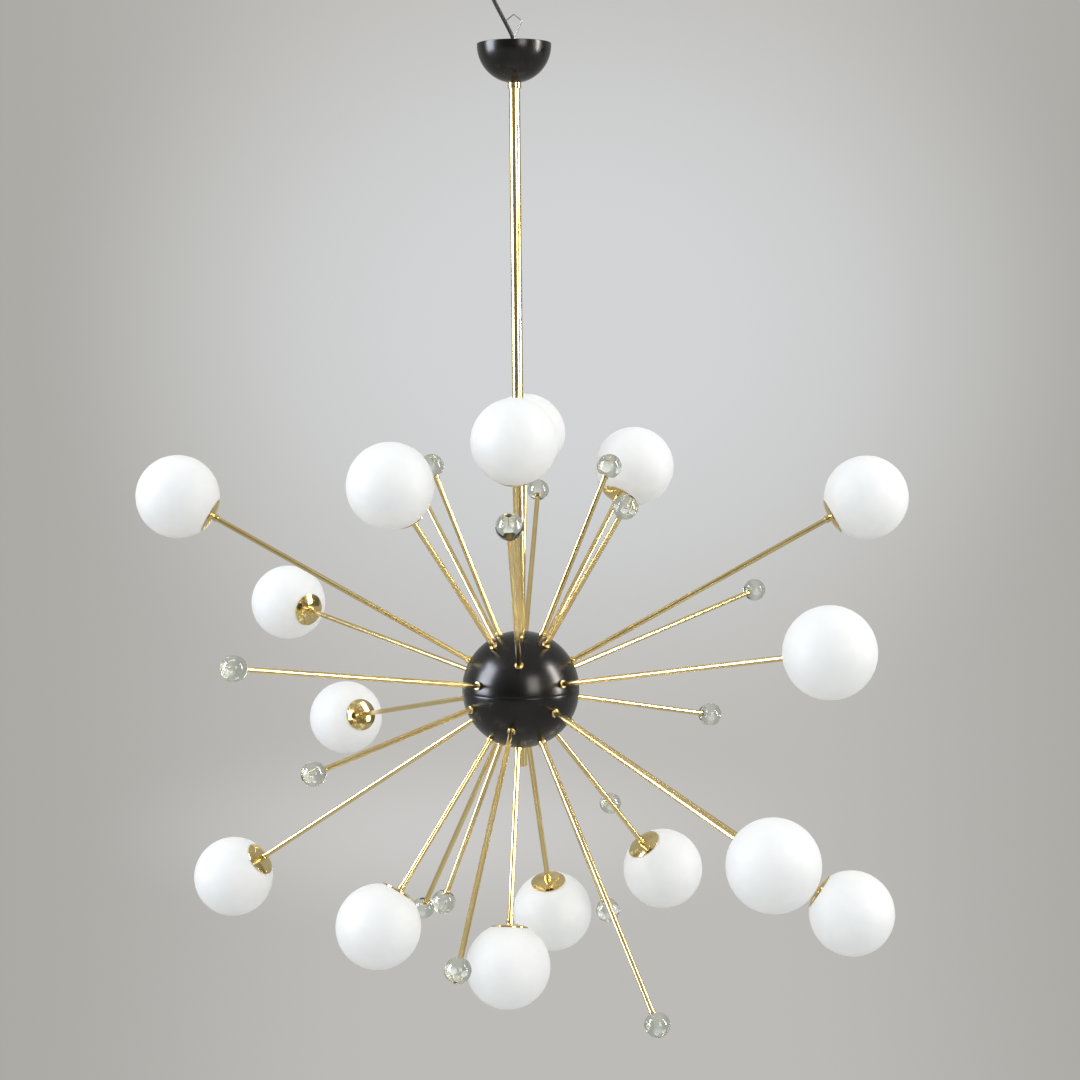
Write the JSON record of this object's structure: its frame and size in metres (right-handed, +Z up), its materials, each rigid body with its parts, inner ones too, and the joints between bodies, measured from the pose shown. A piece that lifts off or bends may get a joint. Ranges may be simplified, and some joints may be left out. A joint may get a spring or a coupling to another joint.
{
  "type": "sputnik chandelier",
  "caption": "Chandelier with a black ball hub on a brass stem and thin brass arms in all directions, tipped by turns with opal glass globes and clear crystal balls.",
  "frame": {"origin": "hanging point, the underside of the top of the wire loop", "axes": "+Z up along the stem, -Y towards the picture's camera, +X to the right of the picture"},
  "size_m": [1.1079, 1.0331, 1.4761],
  "materials": {
    "opal_glass": "satin opal white",
    "crystal": "clear polished",
    "bulb_glass": "frosted",
    "brass": "polished",
    "black_metal": "satin black lacquer",
    "steel": "zinc plated",
    "aluminium": "bare",
    "cable_sheath": "matt black",
    "black_plastic": "moulded",
    "white_plastic": "moulded"
  },
  "bodies": {
    "frame": {"ceiling_terminal": "black_plastic", "dome_bushes": "steel", "hanging_loop": "steel", "hub_lower_dome": "black_metal", "hub_upper_dome": "black_metal", "loop_sleeve": "aluminium", "loop_stop_sleeve": "aluminium", "lower_arm_leads": "white_plastic", "lower_arm_nuts": "steel", "lower_bulbs": "bulb_glass", "lower_cap_ferrules": "brass", "lower_carrier_nuts": "steel", "lower_crystal_arms": "brass", "lower_crystal_collars": "brass", "lower_crystals": "crystal", "lower_globe_arms": "brass", "lower_globe_caps": "brass", "lower_hub_ferrules": "brass", "lower_lampholders": "white_plastic", "lower_shade_carriers": "steel", "stem_end_plug": "brass", "stem_lead": "black_plastic", "stem_top_bush": "brass", "stem_tube": "brass", "supply_cable": "cable_sheath", "terminal_block": "black_plastic", "upper_arm_leads": "white_plastic", "upper_arm_nuts": "steel", "upper_bulbs": "bulb_glass", "upper_cap_ferrules": "brass", "upper_carrier_nuts": "steel", "upper_crystal_arms": "brass", "upper_crystal_collars": "brass", "upper_crystals": "crystal", "upper_globe_arms": "brass", "upper_globe_caps": "brass", "upper_hub_ferrules": "brass", "upper_lampholders": "white_plastic", "upper_shade_carriers": "steel"},
    "canopy": {"canopy_collar": "brass", "canopy_cup": "black_metal", "canopy_grub_screw": "steel"},
    "upper_globe_1_body": {"upper_globe_1": "opal_glass"},
    "upper_globe_2_body": {"upper_globe_2": "opal_glass"},
    "upper_globe_3_body": {"upper_globe_3": "opal_glass"},
    "upper_globe_4_body": {"upper_globe_4": "opal_glass"},
    "upper_globe_5_body": {"upper_globe_5": "opal_glass"},
    "upper_globe_6_body": {"upper_globe_6": "opal_glass"},
    "upper_globe_7_body": {"upper_globe_7": "opal_glass"},
    "upper_globe_8_body": {"upper_globe_8": "opal_glass"},
    "lower_globe_1_body": {"lower_globe_1": "opal_glass"},
    "lower_globe_2_body": {"lower_globe_2": "opal_glass"},
    "lower_globe_3_body": {"lower_globe_3": "opal_glass"},
    "lower_globe_4_body": {"lower_globe_4": "opal_glass"},
    "lower_globe_5_body": {"lower_globe_5": "opal_glass"},
    "lower_globe_6_body": {"lower_globe_6": "opal_glass"},
    "lower_globe_7_body": {"lower_globe_7": "opal_glass"},
    "lower_globe_8_body": {"lower_globe_8": "opal_glass"}
  },
  "joints": [
    {"name": "canopy_slide", "type": "slide", "parent": "frame", "child": "canopy", "axis": [0, 0, 1], "range_m": [-0.15, 0.035]},
    {"name": "upper_globe_1_off", "type": "slide", "parent": "frame", "child": "upper_globe_1_body", "axis": [0.6941, -0.6941, 0.1908], "range_m": [0, 0.07]},
    {"name": "upper_globe_2_off", "type": "slide", "parent": "frame", "child": "upper_globe_2_body", "axis": [-0.6754, 0.7242, 0.1392], "range_m": [0, 0.07]},
    {"name": "upper_globe_3_off", "type": "slide", "parent": "frame", "child": "upper_globe_3_body", "axis": [0.8738, -0.0382, 0.4848], "range_m": [0, 0.07]},
    {"name": "upper_globe_4_off", "type": "slide", "parent": "frame", "child": "upper_globe_4_body", "axis": [-0.8659, 0.0151, 0.5], "range_m": [0, 0.07]},
    {"name": "upper_globe_5_off", "type": "slide", "parent": "frame", "child": "upper_globe_5_body", "axis": [0.4391, 0.4315, 0.788], "range_m": [0, 0.07]},
    {"name": "upper_globe_6_off", "type": "slide", "parent": "frame", "child": "upper_globe_6_body", "axis": [-0.4363, -0.444, 0.7826], "range_m": [0, 0.07]},
    {"name": "upper_globe_7_off", "type": "slide", "parent": "frame", "child": "upper_globe_7_body", "axis": [-0.0098, -0.3745, 0.9272], "range_m": [0, 0.07]},
    {"name": "upper_globe_8_off", "type": "slide", "parent": "frame", "child": "upper_globe_8_body", "axis": [0.0239, 0.39, 0.9205], "range_m": [0, 0.07]},
    {"name": "lower_globe_1_off", "type": "slide", "parent": "frame", "child": "lower_globe_1_body", "axis": [0.5596, -0.7845, -0.2672], "range_m": [0, 0.07]},
    {"name": "lower_globe_2_off", "type": "slide", "parent": "frame", "child": "lower_globe_2_body", "axis": [-0.5246, 0.8234, -0.2164], "range_m": [0, 0.07]},
    {"name": "lower_globe_3_off", "type": "slide", "parent": "frame", "child": "lower_globe_3_body", "axis": [0.8183, -0.204, -0.5373], "range_m": [0, 0.07]},
    {"name": "lower_globe_4_off", "type": "slide", "parent": "frame", "child": "lower_globe_4_body", "axis": [-0.7861, 0.2784, -0.5519], "range_m": [0, 0.07]},
    {"name": "lower_globe_5_off", "type": "slide", "parent": "frame", "child": "lower_globe_5_body", "axis": [0.5391, 0.3501, -0.766], "range_m": [0, 0.07]},
    {"name": "lower_globe_6_off", "type": "slide", "parent": "frame", "child": "lower_globe_6_body", "axis": [-0.5131, -0.3144, -0.7986], "range_m": [0, 0.07]},
    {"name": "lower_globe_7_off", "type": "slide", "parent": "frame", "child": "lower_globe_7_body", "axis": [-0.0533, -0.2875, -0.9563], "range_m": [0, 0.07]},
    {"name": "lower_globe_8_off", "type": "slide", "parent": "frame", "child": "lower_globe_8_body", "axis": [0.1102, 0.3495, -0.9304], "range_m": [0, 0.07]}
  ]
}
